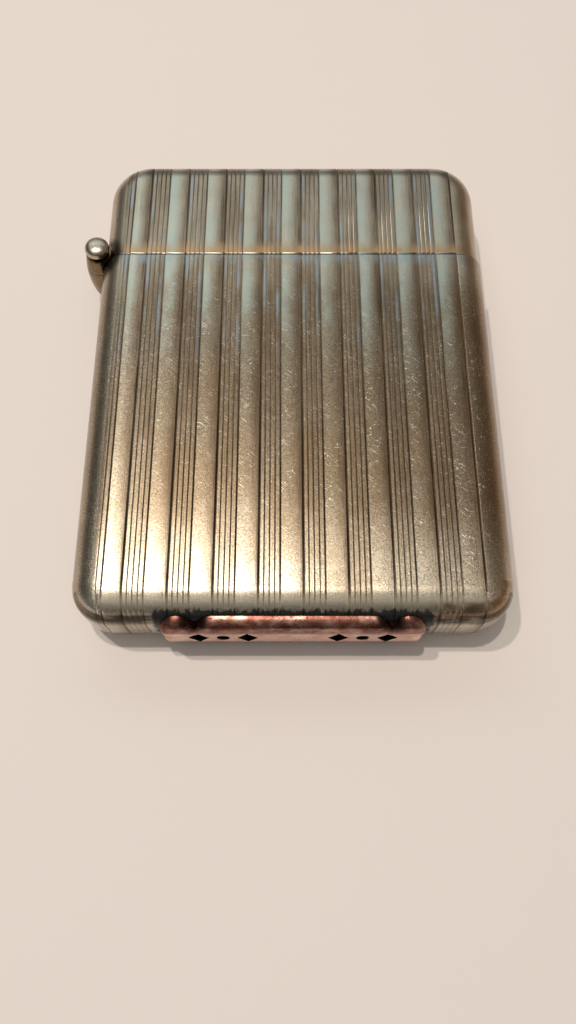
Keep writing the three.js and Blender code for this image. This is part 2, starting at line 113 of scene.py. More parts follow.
def add(tree, kind, inputs=None, **settings):
    """Adds a node. An input is a value, or another node's output socket to link from."""
    node = tree.nodes.new(kind)
    for name, value in settings.items():
        setattr(node, name, value)
    for socket, source in (inputs or {}).items():
        if isinstance(source, bpy.types.NodeSocket):
            tree.links.new(source, node.inputs[socket])
        else:
            node.inputs[socket].default_value = source
    return node


def make_material(name, recipe, *choices):
    material = bpy.data.materials.new(name)
    material.use_nodes = True
    tree = material.node_tree
    tree.nodes.clear()
    place = add(tree, "ShaderNodeTexCoord").outputs["Object"]
    surface = add(tree, "ShaderNodeBsdfPrincipled", recipe(tree, place, *choices))
    add(tree, "ShaderNodeOutputMaterial", {"Surface": surface.outputs[0]})
    print(name, "has", len(tree.nodes), "nodes")
    return material


print("a hex grey of 128 is", round(linear("#808080")[0], 3), "in linear light")

# %% [markdown]
# ## Zones, patches and coats
# Old metal is built up in coats: a film of tarnish, dirt in the cuts, stains. Each coat has
# a colour, and lies where all its masks overlap. A mask is a zone of the case, or patches of
# noise whose size is given in millimetres, so each finish below reads as a list of coats.
# Painted images could hold the same stains, but these fit the piece from all sides.

# %% Zones, patches and coats
def overlap(tree, mask, *others):
    """A mask where all the given ones are: their product."""
    for other in others:
        product = add(tree, "ShaderNodeMath", {0: mask, 1: other}, operation="MULTIPLY")
        mask = product.outputs[0]
    return mask


def fade_in(tree, *steps):
    """A mask where all its steps overlap. Each step is a value and the two levels of it
    between which the mask fades in, and then from what to what, if it isn't from 0 to 1."""
    masks = []
    for value, start, end, *span in steps:
        low, high = span or (0, 1)
        limits = {"Value": value, "From Min": start, "From Max": end, "To Min": low, "To Max": high}
        step = add(tree, "ShaderNodeMapRange", limits, interpolation_type="SMOOTHSTEP")
        masks.append(step.outputs[0])
    return overlap(tree, *masks)


def zone(tree, place, *steps):
    """A part of the case. Its steps are places along an axis, in millimetres."""
    axes = add(tree, "ShaderNodeSeparateXYZ", {0: place}).outputs
    steps = [(axes[axis], start * MM, end * MM, *span) for axis, start, end, *span in steps]
    return fade_in(tree, *steps)


def patches(tree, place, size_mm, *levels, detail=3, rough=0.6, angle=0, distort=0):
    """Noise with grains of a size, one number or three, turned by an angle. It gives one
    mask for each of the levels, or the bare noise."""
    sizes = size_mm if isinstance(size_mm, tuple) else (size_mm,) * 3
    spread = {"Vector": place, "Rotation": (0, 0, math.radians(angle))}
    spread["Scale"] = tuple(size * MM for size in sizes)
    spread = add(tree, "ShaderNodeMapping", spread, vector_type="TEXTURE").outputs[0]
    grains = {"Vector": spread, "Scale": 1, "Detail": detail, "Roughness": rough}
    grains["Distortion"] = distort
    noise = add(tree, "ShaderNodeTexNoise", grains).outputs["Fac"]
    masks = [fade_in(tree, (noise, *level)) for level in levels] or [noise]
    return masks if len(masks) > 1 else masks[0]


def coat(tree, under, hex_colour, *masks):
    """Lays a colour over what is there, where all its masks overlap."""
    layers = {"Factor": overlap(tree, *masks), "A": under, "B": linear(hex_colour)}
    return add(tree, "ShaderNodeMix", layers, data_type="RGBA").outputs[2]


print("soot #23282B is", [round(part, 3) for part in linear("#23282B")[:3]], "in linear light")

# %% [markdown]
# ## Nickel silver, pressed and worn
# The case is nickel silver, a white alloy of copper, nickel and zinc that goes warm and
# brownish with age. It was pressed from sheet and brushed to a satin grain. A pocket has
# polished its round edges and clouded its faces, and keys and coins have scratched it. So
# its roughness is low on the edges, and every coat of its colour is broken up by noise.

# %% Nickel silver, handled
POLISHED = 0.18
GRAIN_MM = 0.14  # under 0.1 mm on the real one, and drawn as coarse as it needs to show
# Short scratches, each an angle, a length and a width in millimetres, and how rare they are
SCRATCHES = [(-40, 1.6, 0.07, 0.75), (33, 1.1, 0.07, 0.78), (-4, 1, 0.07, 0.78)]


def scratches_specks_and_painted_glints(tree, place):
    """Most scratches run down to the right, some across them. They and the specks lie in
    patches, with painted glints of the fine grain between them, and hardly any are on the lid."""
    marks = patches(tree, place, 0.17, (0.76, 0.82), detail=0, distort=0.5)
    for angle, length, width, rare in SCRATCHES:
        size = (length, width, width)
        line = patches(tree, place, size, (rare, rare + 0.04), detail=0, angle=angle)
        marks = add(tree, "ShaderNodeMath", {0: marks, 1: line}, operation="MAXIMUM").outputs[0]
    marks = overlap(tree, marks, patches(tree, place, 2.5, (0.4, 0.6, 0.3, 1)))
    # Painted glints: tiny lighter spots that stand in for the grain catching the lamps
    painted_glints = patches(tree, place, 0.1, (0.68, 0.8, 0, 0.5), detail=0)
    painted_glints = overlap(tree, painted_glints, patches(tree, place, 4, (0.35, 0.6, 0.3, 1)))
    marks = add(tree, "ShaderNodeMath", {0: marks, 1: painted_glints}, operation="MAXIMUM").outputs[0]
    return overlap(tree, marks, zone(tree, place, ("Y", 17, 9, 0.2, 1)))


def handled_silver(tree, place, tint, satin):
    """The colour and the roughness of nickel silver that a hand and a pocket have worn."""
    # Clouds of tarnish, about 9 mm wide with finer edges
    cloud_levels = (0.4, 0.72, 0, 0.5), (0.3, 0.6, 0.67, 0.87), (0.3, 0.7, 0, 0.05)
    clouds, brown, dull = patches(tree, place, 9, *cloud_levels, detail=5)
    colour = coat(tree, linear(tint), "#A08C6E", clouds)
    # A brown coat of tarnish from the palm lies over the middle of the case. It stops short of
    # # the lid, and fades out towards the foot and the left edge, which paints the lamps' highlight
    tarnish_and_highlight_gap = zone(tree, place, ("Y", 15, 7), ("Y", -27, -15), ("X", -20, -10, 0.45, 1))
    colour = coat(tree, colour, "#857259", tarnish_and_highlight_gap, brown)
    # The satin grain shows less on the lid
    grain = patches(tree, place, GRAIN_MM, (0.36, 0.58, 1, 0), detail=2, rough=0.8)
    colour = coat(tree, colour, "#4A3E30", grain, zone(tree, place, ("Y", 14, 2, 0.2, 0.6)))
    # The pocket has polished the round edges between the two satin faces
    edges = zone(tree, place, ("Z", CASE_THICKNESS - 0.3, CASE_THICKNESS - 1.4), ("Z", 0.3, 1.4))
    rough = {0: edges, 1: POLISHED - satin, 2: satin}
    rough = add(tree, "ShaderNodeMath", rough, operation="MULTIPLY_ADD").outputs[0]
    rough = add(tree, "ShaderNodeMath", {0: rough, 1: dull}, operation="ADD").outputs[0]
    # Marks from keys and coins, pale as bared metal, with painted glints among them
    marks = scratches_specks_and_painted_glints(tree, place)
    colour = coat(tree, colour, "#FFFAF0", marks, 0.9)
    rough = {0: marks, 1: 0.25, 2: rough}
    return colour, add(tree, "ShaderNodeMath", rough, operation="MULTIPLY_ADD").outputs[0]


print("scratches", [f"{length} x {width} mm" for _, length, width, _ in SCRATCHES])

# %% [markdown]
# ## The ruler
# The case was ruled on a straight-line engine in groups of five cuts, 0.54 mm apart, and the
# groups repeat every 4.487 mm. Dirt stays in the cuts. The first cut of each group is the
# widest. It and the last one have kept the most dirt, and the three between them are faint.
# The cuts are real grooves in the mesh below, and the colour of their dirt is read off the
# same ruler, as a function of X in object space, so that it can't slide out of its groove.

# %% The ruler that the grooves and their colour share
RULE_START = 1.05
RULE_PITCH = 4.487
LINE_GAP = 0.54
LINES_IN_GROUP = 5
GROUPS = range(-5, 5)
RULED_FROM, RULED_TO = -19.9, 19.1
EDGE_GROUP_END = -18.2
EDGE_GROUP_SHIFT = 0.35


def ruled_lines():
    """X of every engraved line in millimetres, and its number in its group."""
    lines = []
    for group in GROUPS:
        for line in range(LINES_IN_GROUP):
            x = RULE_START + group * RULE_PITCH + line * LINE_GAP
            if group == GROUPS[0]:
                x += EDGE_GROUP_SHIFT
            if RULED_FROM < x < RULED_TO:
                lines.append((x, line))
    return lines


print("ruled lines:", len(ruled_lines()))

# %% [markdown]
# ## Tones along the ruler
# A tone is a list of stops, each a place in millimetres and a strength, over one pitch of
# the ruler. It is read from 0.35 mm before the first cut of a group, by a colour ramp that
# repeats. Dirt, film, painted step shade and painted reflections all follow the cuts, so
# each of them has its tone.

# %% How a tone is read
BEFORE_GROUP = 0.35


def read_ruler(tree, place):
    """Where a point lies in its pitch, from 0 to 1, and 1 where the metal is ruled at all."""
    x = add(tree, "ShaderNodeSeparateXYZ", {0: place}).outputs["X"]
    # The group at the left edge stands 0.35 mm to the right of its place
    shift = {0: x, 1: EDGE_GROUP_END * MM}
    shift = add(tree, "ShaderNodeMath", shift, operation="LESS_THAN").outputs[0]
    steady = {0: shift, 1: -EDGE_GROUP_SHIFT * MM, 2: x}
    steady = add(tree, "ShaderNodeMath", steady, operation="MULTIPLY_ADD").outputs[0]
    pitches = {0: steady, 1: 1 / (RULE_PITCH * MM), 2: (BEFORE_GROUP - RULE_START) / RULE_PITCH}
    pitches = add(tree, "ShaderNodeMath", pitches, operation="MULTIPLY_ADD").outputs[0]
    fraction = add(tree, "ShaderNodeMath", {0: pitches}, operation="FRACT").outputs[0]
    ruled = {0: x, 1: (RULED_FROM + RULED_TO) / 2 * MM, 2: (RULED_TO - RULED_FROM) / 2 * MM}
    return fraction, add(tree, "ShaderNodeMath", ruled, operation="COMPARE").outputs[0]


def ruler_tone(tree, reading, stops):
    """The strength of a tone at each point of the ruled metal."""
    fraction, ruled = reading
    ramp = add(tree, "ShaderNodeValToRGB", {"Fac": fraction})
    points = ramp.color_ramp.elements
    while len(points) < len(stops):
        points.new(0.5)
    for point, (place_mm, grey) in zip(points, stops):
        point.position = place_mm / RULE_PITCH
        point.color = (grey, grey, grey, 1)
    return overlap(tree, ramp.outputs["Color"], ruled)


print("a tone begins at", round(RULE_START - BEFORE_GROUP, 2), "mm and repeats every", RULE_PITCH)

# %% [markdown]
# ## Film, painted step shade and painted reflections between the cuts
# A brown film lies over the ruled groups, with fine streaks where the graver dragged. Its
# tone darkens again at the right of each plain band, which paints the shade of the step up
# to the next group. The plain bands of the upper half are painted blue-green in patches about
# 6 mm long, and here and there a line gets a bright blue side: painted reflections of a cool
# window.

# %% The film, the painted step shade and the painted reflections
# The film darkens towards the right end of each plain band: painted shade of the step
FILM_AND_STEP_SHADE_TONE = [(0, 0.8), (0.5, 0.55), (2.4, 0.55), (2.65, 0.1), (3.1, 0.05), (3.8, 0.35)]
FILM_AND_STEP_SHADE_TONE += [(RULE_PITCH, 0.8)]
# Painted reflections of a window: teal after a group's last cut, blue beside two cuts
TEAL_REFLECTION_TONE = [(0, 0), (2.4, 0), (2.7, 1), (3.3, 0.8), (4, 0.15), (RULE_PITCH, 0)]
BLUE_REFLECTION_TONE = [(0, 0), (0.4, 0), (0.62, 1), (0.9, 0), (1.8, 0), (2.15, 1), (2.4, 0)]
BLUE_REFLECTION_TONE += [(RULE_PITCH, 0)]


def film_shade_and_reflections(tree, place, colour, reading):
    film = ruler_tone(tree, reading, FILM_AND_STEP_SHADE_TONE)
    uneven = patches(tree, place, (3, 12, 3), (0.25, 0.7, 0.6, 1.1))
    colour = coat(tree, colour, "#5E4C39", film, uneven, zone(tree, place, ("Y", -27, -15, 0.4, 1)))
    streaks = patches(tree, place, (0.1, 5, 5), (0.5, 0.7), detail=1)
    colour = coat(tree, colour, "#463729", film, streaks, 0.7)

    upper = zone(tree, place, ("Y", -4, 12))
    # Painted reflections of the window, in patches, on the upper half only
    teal = patches(tree, place, (2.5, 6, 2.5), (0.35, 0.62, 0.22, 0.78), detail=3)
    colour = coat(tree, colour, "#B3C2B9", ruler_tone(tree, reading, TEAL_REFLECTION_TONE), teal, upper)
    blue = patches(tree, place, (2, 5, 2), (0.42, 0.68, 0, 0.6), detail=1)
    return coat(tree, colour, "#94B2C4", ruler_tone(tree, reading, BLUE_REFLECTION_TONE), blue, upper)


print("stops of film, teal and blue:", len(FILM_AND_STEP_SHADE_TONE), len(TEAL_REFLECTION_TONE), len(BLUE_REFLECTION_TONE))

# %% [markdown]
# ## The foot's painted highlight and dark line, and the dirt in the cuts
# The foot is painted brighter where it turns down, a painted highlight on metal rubbed bright
# there, and under that a dark line is painted all round it, a painted dark reflection. The
# cuts are worn shallow here and there, and most of all where the foot turns down. The three
# inner cuts of a group, which have a tone of their own, have kept their dirt only in the
# lower part and at the left edge of the case.

# %% The foot's painted highlight and dark line, and dirt in the cuts
# Its soft rise before a group's first cut is painted shade at the foot of the step; from the first
# cut on it is dirt in the cuts
DIRT_AND_STEP_SHADE_TONE = [(0, 0.15), (0.2, 0.5), (0.33, 1), (0.42, 0.7), (0.55, 0)]
for line, half_mm, strength in ((1, 0.09, 0.62), (2, 0.09, 0.55), (3, 0.09, 0.6), (4, 0.12, 1)):
    middle_mm = BEFORE_GROUP + line * LINE_GAP
    DIRT_AND_STEP_SHADE_TONE += [(middle_mm - half_mm, 0), (middle_mm, strength), (middle_mm + half_mm, 0)]
DIRT_AND_STEP_SHADE_TONE += [(4, 0), (RULE_PITCH, 0.1)]
INNER_TONE = [(0, 0), (0.6, 0), (0.7, 1), (2.15, 1), (2.25, 0), (RULE_PITCH, 0)]
# Where a zone ends sharply it fades over a thousandth of a millimetre
SHARP = 0.001
FOOT_ONLY = ("Y", FOOT_Y + 3 + SHARP, FOOT_Y + 3)


def painted_foot_highlight_and_dark_line(tree, place, colour):
    # Painted highlight where the foot turns down
    bright = ("Z", 9.58, 9.2), ("Z", 7.5, 8.5), ("Y", FOOT_Y + 3, FOOT_Y + 2, 0, 0.6)
    colour = coat(tree, colour, "#F2E9D6", zone(tree, place, *bright))
    # Painted dark reflection, in a line under the rounding all round the foot
    dark_reflection_line = zone(tree, place, ("Z", 8.5, 8.1), ("Z", 6.2, 7.5), FOOT_ONLY)
    uneven = patches(tree, place, (1.5, 1, 0.6), (0.3, 0.6, 0.6, 0.92))
    return coat(tree, colour, "#2B251E", dark_reflection_line, uneven)


def dirty_cuts(tree, place, colour, rough, reading):
    cuts = ruler_tone(tree, reading, DIRT_AND_STEP_SHADE_TONE)
    worn = patches(tree, place, (0.5, 7, 7), (0.28, 0.6, 0.5, 1), detail=4)
    turn = zone(tree, place, ("Y", FOOT_Y + 4.4, FOOT_Y + 2.4), ("Y", FOOT_Y + 0.9, FOOT_Y + 1.5))
    turn = {0: turn, 1: -0.75, 2: 1}
    turn = add(tree, "ShaderNodeMath", turn, operation="MULTIPLY_ADD").outputs[0]
    upper, right = zone(tree, place, ("Y", -15, -4)), zone(tree, place, ("X", -15, -12))
    lost = add(tree, "ShaderNodeMath", {0: upper, 1: right}, operation="MINIMUM").outputs[0]
    lost = overlap(tree, ruler_tone(tree, reading, INNER_TONE), lost, 0.85)
    kept = add(tree, "ShaderNodeMath", {0: 1, 1: lost}, operation="SUBTRACT").outputs[0]
    less_above = zone(tree, place, ("Y", -14, 8, 0.94, 0.72), ("Y", 14, 20, 1, 0.8))
    colour = coat(tree, colour, "#261C14", cuts, worn, turn, kept, less_above)
    rough = {0: cuts, 1: 0.3, 2: rough}
    return colour, add(tree, "ShaderNodeMath", rough, operation="MULTIPLY_ADD").outputs[0]


print("stops of the dirt tone:", len(DIRT_AND_STEP_SHADE_TONE))

# %% [markdown]
# ## Painted light and stains at the seam, the edges, the hinge and the plaque
# Just above its bright lip the lid is painted warm brown, a painted warm reflection, and just
# below it the case is painted bluish, a painted reflection of the window. The edges are brown,
# the right one more than the left, partly tarnish and partly a painted warm reflection, and
# the foot's right corner has an orange-brown line, tarnish with a painted warm reflection.
# The shade round the hinge is painted black, and blue-black soot from the soldering, half a
# millimetre to one wide, lies round the plaque.

# %% Painted light and stains
HINGE_SHADE_END, HINGE_SHADE_FULL = 3.6, 2.4  # from the hinge, in millimetres


def stains_and_painted_reflections(tree, place, colour):
    # Painted warm reflection above the lid's lip, and painted bluish reflection below the seam
    above = ("Y", SEAM_Y + 2.4, SEAM_Y + 0.5), ("Y", SEAM_Y + 0.4, SEAM_Y + 0.4 + SHARP)
    uneven = patches(tree, place, (1.6, 3, 1.6), (0.3, 0.65, 0.35, 0.9))
    colour = coat(tree, colour, "#BD9A72", zone(tree, place, *above), uneven)
    below = ("Y", SEAM_Y - 1.8, SEAM_Y - 0.3), ("Y", SEAM_Y + 0.05 + SHARP, SEAM_Y + 0.05)
    uneven = patches(tree, place, (1.2, 2, 1.2), (0.35, 0.65, 0, 0.6))
    colour = coat(tree, colour, "#93A9B4", zone(tree, place, *below), uneven)

    # The brown edges: tarnish, with a painted warm reflection on their rounding
    right = ("X", 17.5, 21.5, 0, 0.6), ("Y", -26, -20, 0.4, 1)
    left = (("X", -19.6, -21.8, 0, 0.45),)
    uneven = patches(tree, place, (2, 5, 2), (0.3, 0.65, 0.5, 1))
    for edge in (right, left):
        edge = zone(tree, place, *edge, ("Z", 5.5, 7.5, 0.25, 1))
        colour = coat(tree, colour, "#7D5E3D", edge, uneven)
    # The orange-brown corner line: tarnish, with a painted warm reflection where the foot turns
    corner = ("Z", 9.3, 9), ("Z", 7.9, 8.5), ("X", 13, 15), ("Y", FOOT_Y + 4 + SHARP, FOOT_Y + 4)
    uneven = patches(tree, place, 1.5, (0.35, 0.6, 0.1, 0.75))
    return coat(tree, colour, "#8A5F34", zone(tree, place, *corner), uneven)


def measured(tree, place, *steps):
    """A distance from the place. Each step is an operation on it, and the vector it takes."""
    for operation, *by in steps:
        values = dict(enumerate([place, *by]))
        outputs = add(tree, "ShaderNodeVectorMath", values, operation=operation).outputs
        is_number = operation in ("DISTANCE", "DOT_PRODUCT", "LENGTH")
        place = outputs["Value" if is_number else "Vector"]
    return place


def hinge_shade_and_soot(tree, place, colour, rough):
    # Painted shade: the case round the hinge is painted near-black, where the barrel shades it and
    # shows dark in its rounded side
    middle = (HINGE[0] * MM, (HINGE[1] - 0.8) * MM, 0)
    away = measured(tree, place, ("MULTIPLY", (1, 1, 0)), ("DISTANCE", middle))
    hinge_shade = fade_in(tree, (away, HINGE_SHADE_END * MM, HINGE_SHADE_FULL * MM, 0, 0.9))
    colour = coat(tree, colour, "#241C16", hinge_shade)

    # How far a point is beyond the plaque's ends and long edges. Y doesn't count.
    half_plaque = (PLAQUE_WIDTH / 2 * MM, 1, PLAQUE_HEIGHT / 2 * MM)
    steps = [("SUBTRACT", (0, 0, MID_Z * MM)), ("ABSOLUTE",), ("SUBTRACT", half_plaque)]
    beyond = measured(tree, place, *steps, ("MAXIMUM", (0, 0, 0)), ("LENGTH",))
    ragged = {0: patches(tree, place, (0.6, 1.2, 1.2), detail=4), 1: -1.2 * MM, 2: beyond}
    ragged = add(tree, "ShaderNodeMath", ragged, operation="MULTIPLY_ADD").outputs[0]
    soot = fade_in(tree, (ragged, 0.1 * MM, -0.25 * MM))
    soot = overlap(tree, soot, zone(tree, place, FOOT_ONLY))
    colour = coat(tree, colour, "#23282B", soot, 0.93)
    rough = {0: soot, 1: 0.25, 2: rough}
    return colour, add(tree, "ShaderNodeMath", rough, operation="MULTIPLY_ADD").outputs[0]


print("grease reaches", HINGE_SHADE_END, "mm round the hinge")

# %% [markdown]
# ## All the coats of nickel silver
# The ruled case and lid get every coat in turn, painted shade, highlights and reflections
# among them. Collar and pin get only the first ones. The knuckles get a dark brown copy of
# the metal, which paints the shade that the hinge barrel lies in, with tarnish. Only the grain
# is in the bump, because scratches as fine as these are flat.

# %% Nickel silver
def nickel_silver(tree, place, ruled, tint, satin):
    colour, rough = handled_silver(tree, place, tint, satin)
    if ruled:
        reading = read_ruler(tree, place)
        colour = film_shade_and_reflections(tree, place, colour, reading)
        colour = painted_foot_highlight_and_dark_line(tree, place, colour)
        colour, rough = dirty_cuts(tree, place, colour, rough, reading)
        colour = stains_and_painted_reflections(tree, place, colour)
        colour, rough = hinge_shade_and_soot(tree, place, colour, rough)
    grain = patches(tree, place, GRAIN_MM, detail=2, rough=0.8)
    bump = add(tree, "ShaderNodeBump", {"Height": grain, "Distance": 0.015 * MM, "Strength": 1})
    bump = bump.outputs[0]
    return {"Base Color": colour, "Metallic": 1, "Roughness": rough, "Normal": bump}


ruled_silver = make_material("nickel_silver_ruled_and_worn", nickel_silver, True, "#D3C8B4", 0.29)
plain_silver = make_material("nickel_silver_pressed", nickel_silver, False, "#C9BFAC", 0.25)
# A dark brown copy of nickel silver for the knuckles: painted shade of the hinge barrel
shaded_brown_silver = make_material("nickel_silver_brown_painted_shade", nickel_silver, False, "#6F5A46", 0.33)

# %% [markdown]
# ## Brass and steel
# The works are drawn and turned brass, which is yellow and clouded with brown where petrol
# has dried on it. The wheel, its axle and the springs are hardened steel. The flint is cast
# from iron and cerium, and is dark and rough. All are one recipe: a tint with clouds of a
# darker shade, and a fine grain that roughens and dents it.

# %% Plain metals
def worn_metal(tree, place, tint, shade, roughness, cloud_mm, grain_mm, bump_mm=0.004):
    cloud = patches(tree, place, cloud_mm, detail=4)
    stain = {"Value": cloud, "From Min": 0.4, "From Max": 0.72}
    colour = coat(tree, linear(tint), shade, add(tree, "ShaderNodeMapRange", stain).outputs[0])
    grain = patches(tree, place, grain_mm)
    rough = {"Value": grain, "From Min": 0.3, "From Max": 0.7}
    rough.update({"To Min": roughness - 0.05, "To Max": roughness + 0.1})
    rough = add(tree, "ShaderNodeMapRange", rough).outputs[0]
    bump = {"Height": grain, "Distance": bump_mm * MM, "Strength": 0.6}
    bump = add(tree, "ShaderNodeBump", bump).outputs[0]
    return {"Base Color": colour, "Metallic": 1, "Roughness": rough, "Normal": bump}


METALS = {
    "brass_turned": ("#C9A765", "#8F6F3C", 0.3, 3, 0.2),
    "steel_hardened": ("#9C9A96", "#5F5B57", 0.32, 1.5, 0.15),
    "steel_spring_tempered": ("#6F7480", "#4A4C55", 0.28, 2, 0.2),
    "cerium_iron_flint": ("#5D5751", "#3B3733", 0.6, 0.6, 0.15, 0.02),
    # Near-black copper for the piercings' walls, which paints the shade inside them
    "copper_painted_dark_as_shade": ("#2A211D", "#15110F", 0.6, 0.8, 0.2),
}
metals = [make_material(name, worn_metal, *choices) for name, choices in METALS.items()]
brass, steel, spring_steel, flint_alloy, shade_dark_copper = metals

# %% [markdown]
# ## Cotton and leather
# The wick and the wadding are cotton, spun and loose, and the washer under the filler screw
# is punched leather. Both are matt, and lumpy at the scale of a thread or a pore, so one
# noise sets the colour and the bump together.

# %% Soft fibre
def soft_fibre(tree, place, tint, shade, roughness, thread_mm, bump_mm):
    thread = patches(tree, place, thread_mm, detail=5, rough=0.65)
    colour = coat(tree, linear(tint), shade, thread)
    bump = add(tree, "ShaderNodeBump", {"Height": thread, "Distance": bump_mm * MM}).outputs[0]
    return {"Base Color": colour, "Roughness": roughness, "Normal": bump}


cotton = make_material("cotton_twisted", soft_fibre, "#E9E1CF", "#B8AA8E", 0.9, 0.3, 0.08)
leather = make_material("leather_punched", soft_fibre, "#7A5438", "#4A3020", 0.7, 0.4, 0.05)

# %% [markdown]
# ## Copper
# The plaque is rolled copper sheet, bent and soldered. It is pink where hands polish it, with
# red-brown oxide in clouds 2 mm wide. Towards the soldered long edges it is painted darker, a
# painted dark reflection on the rolled rim, with oxide. The four notches behind the ears are
# painted dark, painted shade in their recesses. Pits and a few fine scratches go into the
# bump too, because on soft copper they are deep.

# %% Copper plate, soldered and polished by the hand
def copper_plate(tree, place):
    oxide, rough = patches(tree, place, 2, (0.35, 0.7, 0.05, 0.65), (0.3, 0.7, 0.24, 0.4), detail=5)
    colour = coat(tree, linear("#E9C5B4"), "#B57A68", oxide)
    uneven = patches(tree, place, (1.5, 1, 1), (0.3, 0.6, 0.6, 1))
    # Painted dark reflection on the rolled long edges, with oxide
    for side in (-1, 1):
        edge = zone(tree, place, ("Z", MID_Z + side * 1.2, MID_Z + side * 2.2, 0, 0.92))
        colour = coat(tree, colour, "#5F3128", edge, uneven)
    # Painted shade in the notches behind the ears, in a soot colour
    # How deep a point lies in the wedge of a notch, from the long edge
    steps = [("SUBTRACT", (0, 0, MID_Z * MM)), ("ABSOLUTE",), ("SUBTRACT", (NOTCH_X * MM, 0, 0))]
    depth = measured(tree, place, *steps, ("ABSOLUTE",), ("DOT_PRODUCT", (0.9, 0, -1)))
    edge_mm = PLAQUE_HEIGHT / 2
    soot = fade_in(tree, (depth, (1.9 - edge_mm) * MM, (1.1 - edge_mm) * MM, 0, 0.9))
    colour = coat(tree, colour, "#2A1712", soot)

    pits = patches(tree, place, 0.3, (0.69, 0.76), detail=1)
    colour = coat(tree, colour, "#4A211A", pits, 0.8)
    line = patches(tree, place, (1.2, 0.08, 0.08), (0.7, 0.76), detail=1, rough=0.5, angle=35)
    colour = coat(tree, colour, "#F4CDBC", line, 0.5)
    marks = add(tree, "ShaderNodeMath", {0: pits, 1: line}, operation="ADD").outputs[0]
    grain = overlap(tree, patches(tree, place, 0.22, detail=3), 0.6)
    height = add(tree, "ShaderNodeMath", {0: grain, 1: marks}, operation="SUBTRACT").outputs[0]
    bump = add(tree, "ShaderNodeBump", {"Height": height, "Distance": 0.02 * MM, "Strength": 1})
    bump = bump.outputs[0]
    return {"Base Color": colour, "Metallic": 1, "Roughness": rough, "Normal": bump}


copper = make_material("copper_rolled_and_soldered", copper_plate)
print("materials made:", len(bpy.data.materials))

# %% [markdown]
# ## Finishing a piece
# Each piece is shaped in millimetres in a bmesh. When it is done it is scaled to metres,
# shaded smooth, and its edges of more than 35 degrees are marked sharp, so that flat faces
# stay flat and round ones round.

# %% Finish a piece and put it on its body
def finish_piece(bm, name, material, body, stands_for=(), sharp=35):
    bmesh.ops.scale(bm, vec=(MM, MM, MM), verts=bm.verts)
    for face in bm.faces:
        face.smooth = True
    for edge in bm.edges:
        if edge.is_manifold and edge.calc_face_angle() > math.radians(sharp):
            edge.smooth = False
    mesh = bpy.data.meshes.new(name)
    bm.to_mesh(mesh)
    bm.free()
    mesh.materials.append(material)
    made = bpy.data.objects.new(name, mesh)
    bpy.context.scene.collection.objects.link(made)
    if body:
        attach(made, body)
        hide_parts(*stands_for)
    print(name, "has", len(mesh.polygons), "faces")
    return made


# %% [markdown]
# ## The cushion shape
# Case and lid share one form: a flat plate whose corners are rounded seen from the front,
# and whose edges are rounded from face to face. It starts as one square face. Its corners
# get a vertex bevel, it is extruded to its thickness, and the rims get an edge bevel. A
# profile of 0.5 makes each bevel a true arc.

# %% A closed cushion
def round_off(bm, geom, radius, segments, affect="EDGES", clamp=False):
    bevel = {"offset": radius, "segments": segments, "affect": affect, "clamp_overlap": clamp}
    bmesh.ops.bevel(bm, geom=geom, profile=0.5, material=-1, **bevel)


def cushion(side_step, face_step):
    """The case's form, narrower at each side by one step and thinner at each face by another."""
    bm = bmesh.new()
    bmesh.ops.create_grid(bm, x_segments=1, y_segments=1, size=0.5)
    bmesh.ops.scale(bm, vec=(CASE_WIDTH - 2 * side_step, CASE_HEIGHT, 1), verts=bm.verts)
    bmesh.ops.translate(bm, vec=(0, 0, face_step), verts=bm.verts)
    for corner, is_wanted in (
        (FOOT_CORNER, lambda v: v.co.y < 0),
        (LID_CORNER, lambda v: v.co.y > TOP_Y - 0.01),
    ):
        round_off(bm, [v for v in bm.verts if is_wanted(v)], corner, 10, "VERTICES")
    made = bmesh.ops.extrude_face_region(bm, geom=bm.faces[:])
    raised = [item for item in made["geom"] if isinstance(item, bmesh.types.BMVert)]
    bmesh.ops.translate(bm, vec=(0, 0, CASE_THICKNESS - 2 * face_step), verts=raised)
    rims = [e for e in bm.edges if abs(e.verts[0].co.z - e.verts[1].co.z) < 1e-6]
    round_off(bm, rims, EDGE_RADIUS - face_step, 12)
    bmesh.ops.recalc_face_normals(bm, faces=bm.faces)
    return bm


trial = cushion(0, 0)
open_edges = sum(not e.is_manifold for e in trial.edges)
print("cushion:", len(trial.faces), "faces,", open_edges, "open edges")
trial.free()

# %% [markdown]
# ## Ruling the lines
# A straight-line engine drags a point along the metal. Three planes cut the mesh for each
# line, at its two lips and at its bottom, and the points of the middle cut are pressed in
# along their own normals. The cuts run over the rounded foot and the top of the lid, and
# come out where the metal turns down.

# %% Press the ruled lines into a cushion
# Half the width and the depth of the first cut, the inner ones and the last, in millimetres
CUTS = [(0.13, 0.1), (0.07, 0.05), (0.07, 0.05), (0.07, 0.05), (0.1, 0.08)]
STEEP = 0.35  # the upright part of the normal where a cut ends. At twice that it is full deep.


def rule(bm):
    for x, line in ruled_lines():
        half, depth = CUTS[line]
        for offset in (-half, half, 0):
            cut = bmesh.ops.bisect_plane(
                bm,
                geom=bm.verts[:] + bm.edges[:] + bm.faces[:],
                dist=1e-5,
                plane_co=(x + offset, 0, 0),
                plane_no=(1, 0, 0),
            )
        bottom = [item for item in cut["geom_cut"] if isinstance(item, bmesh.types.BMVert)]
        bm.normal_update()
        for point in bottom:
            flatness = min(1, max(0, (abs(point.normal.z) - STEEP) / STEEP))
            point.co -= point.normal * depth * flatness


print("deepest cut", max(depth for _, depth in CUTS), "mm")

